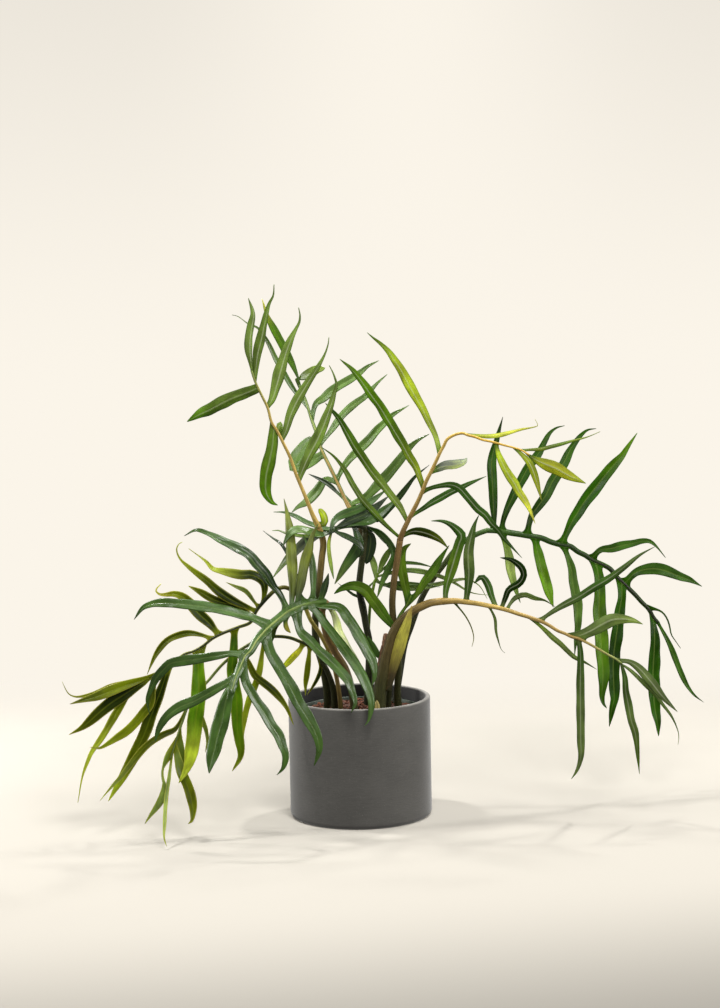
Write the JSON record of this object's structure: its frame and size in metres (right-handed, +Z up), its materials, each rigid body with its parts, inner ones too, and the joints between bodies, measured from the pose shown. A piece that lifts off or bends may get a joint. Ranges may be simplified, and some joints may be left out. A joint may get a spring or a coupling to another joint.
{
  "type": "potted fern-leaf philodendron",
  "caption": "Potted fern-leaf philodendron: deeply cut, arching leaves on long stalks, growing from bark mix in a nursery pot inside a straight-sided dark stoneware planter.",
  "frame": {"origin": "centre of the planter's flat base, on the surface that it stands on", "axes": "+Z up, -Y towards the side that the picture shows, +X to that view's right, along the leaves' longest reach"},
  "size_m": [0.8703, 0.3734, 0.7125],
  "materials": {
    "planter_stoneware": "matte",
    "pot_plastic": "matte",
    "bark_mix": "matte",
    "rusty_bark": "matte",
    "dry_sheath": "satin",
    "stalk": "satin",
    "leaf_mid": "satin",
    "leaf_dark": "satin",
    "leaf_olive": "satin"
  },
  "bodies": {
    "root": {"planter": "planter_stoneware", "nursery_pot": "pot_plastic", "bark_mix": "bark_mix", "main_stem": "rusty_bark", "right_arch_sheath": "dry_sheath", "dry_sheath_stub": "dry_sheath", "upper_left_stalk": "stalk", "upper_left_leaf": "leaf_mid", "upper_back_stalk": "stalk", "upper_back_leaf": "leaf_dark", "centre_dark_stalk": "stalk", "centre_dark_leaf": "leaf_dark", "centre_small_stalk": "stalk", "centre_small_leaf": "leaf_mid", "centre_low_stalk": "stalk", "centre_low_leaf": "leaf_dark", "centre_arch_stalk": "stalk", "centre_arch_leaf": "leaf_mid", "right_arch_stalk": "stalk", "right_arch_leaf": "leaf_mid", "right_back_stalk": "stalk", "right_back_leaf": "leaf_dark", "front_left_stalk": "stalk", "front_left_leaf": "leaf_mid", "left_olive_stalk": "stalk", "left_olive_leaf": "leaf_olive", "lowest_left_stalk": "stalk", "lowest_left_leaf": "leaf_olive"}
  },
  "joints": []
}
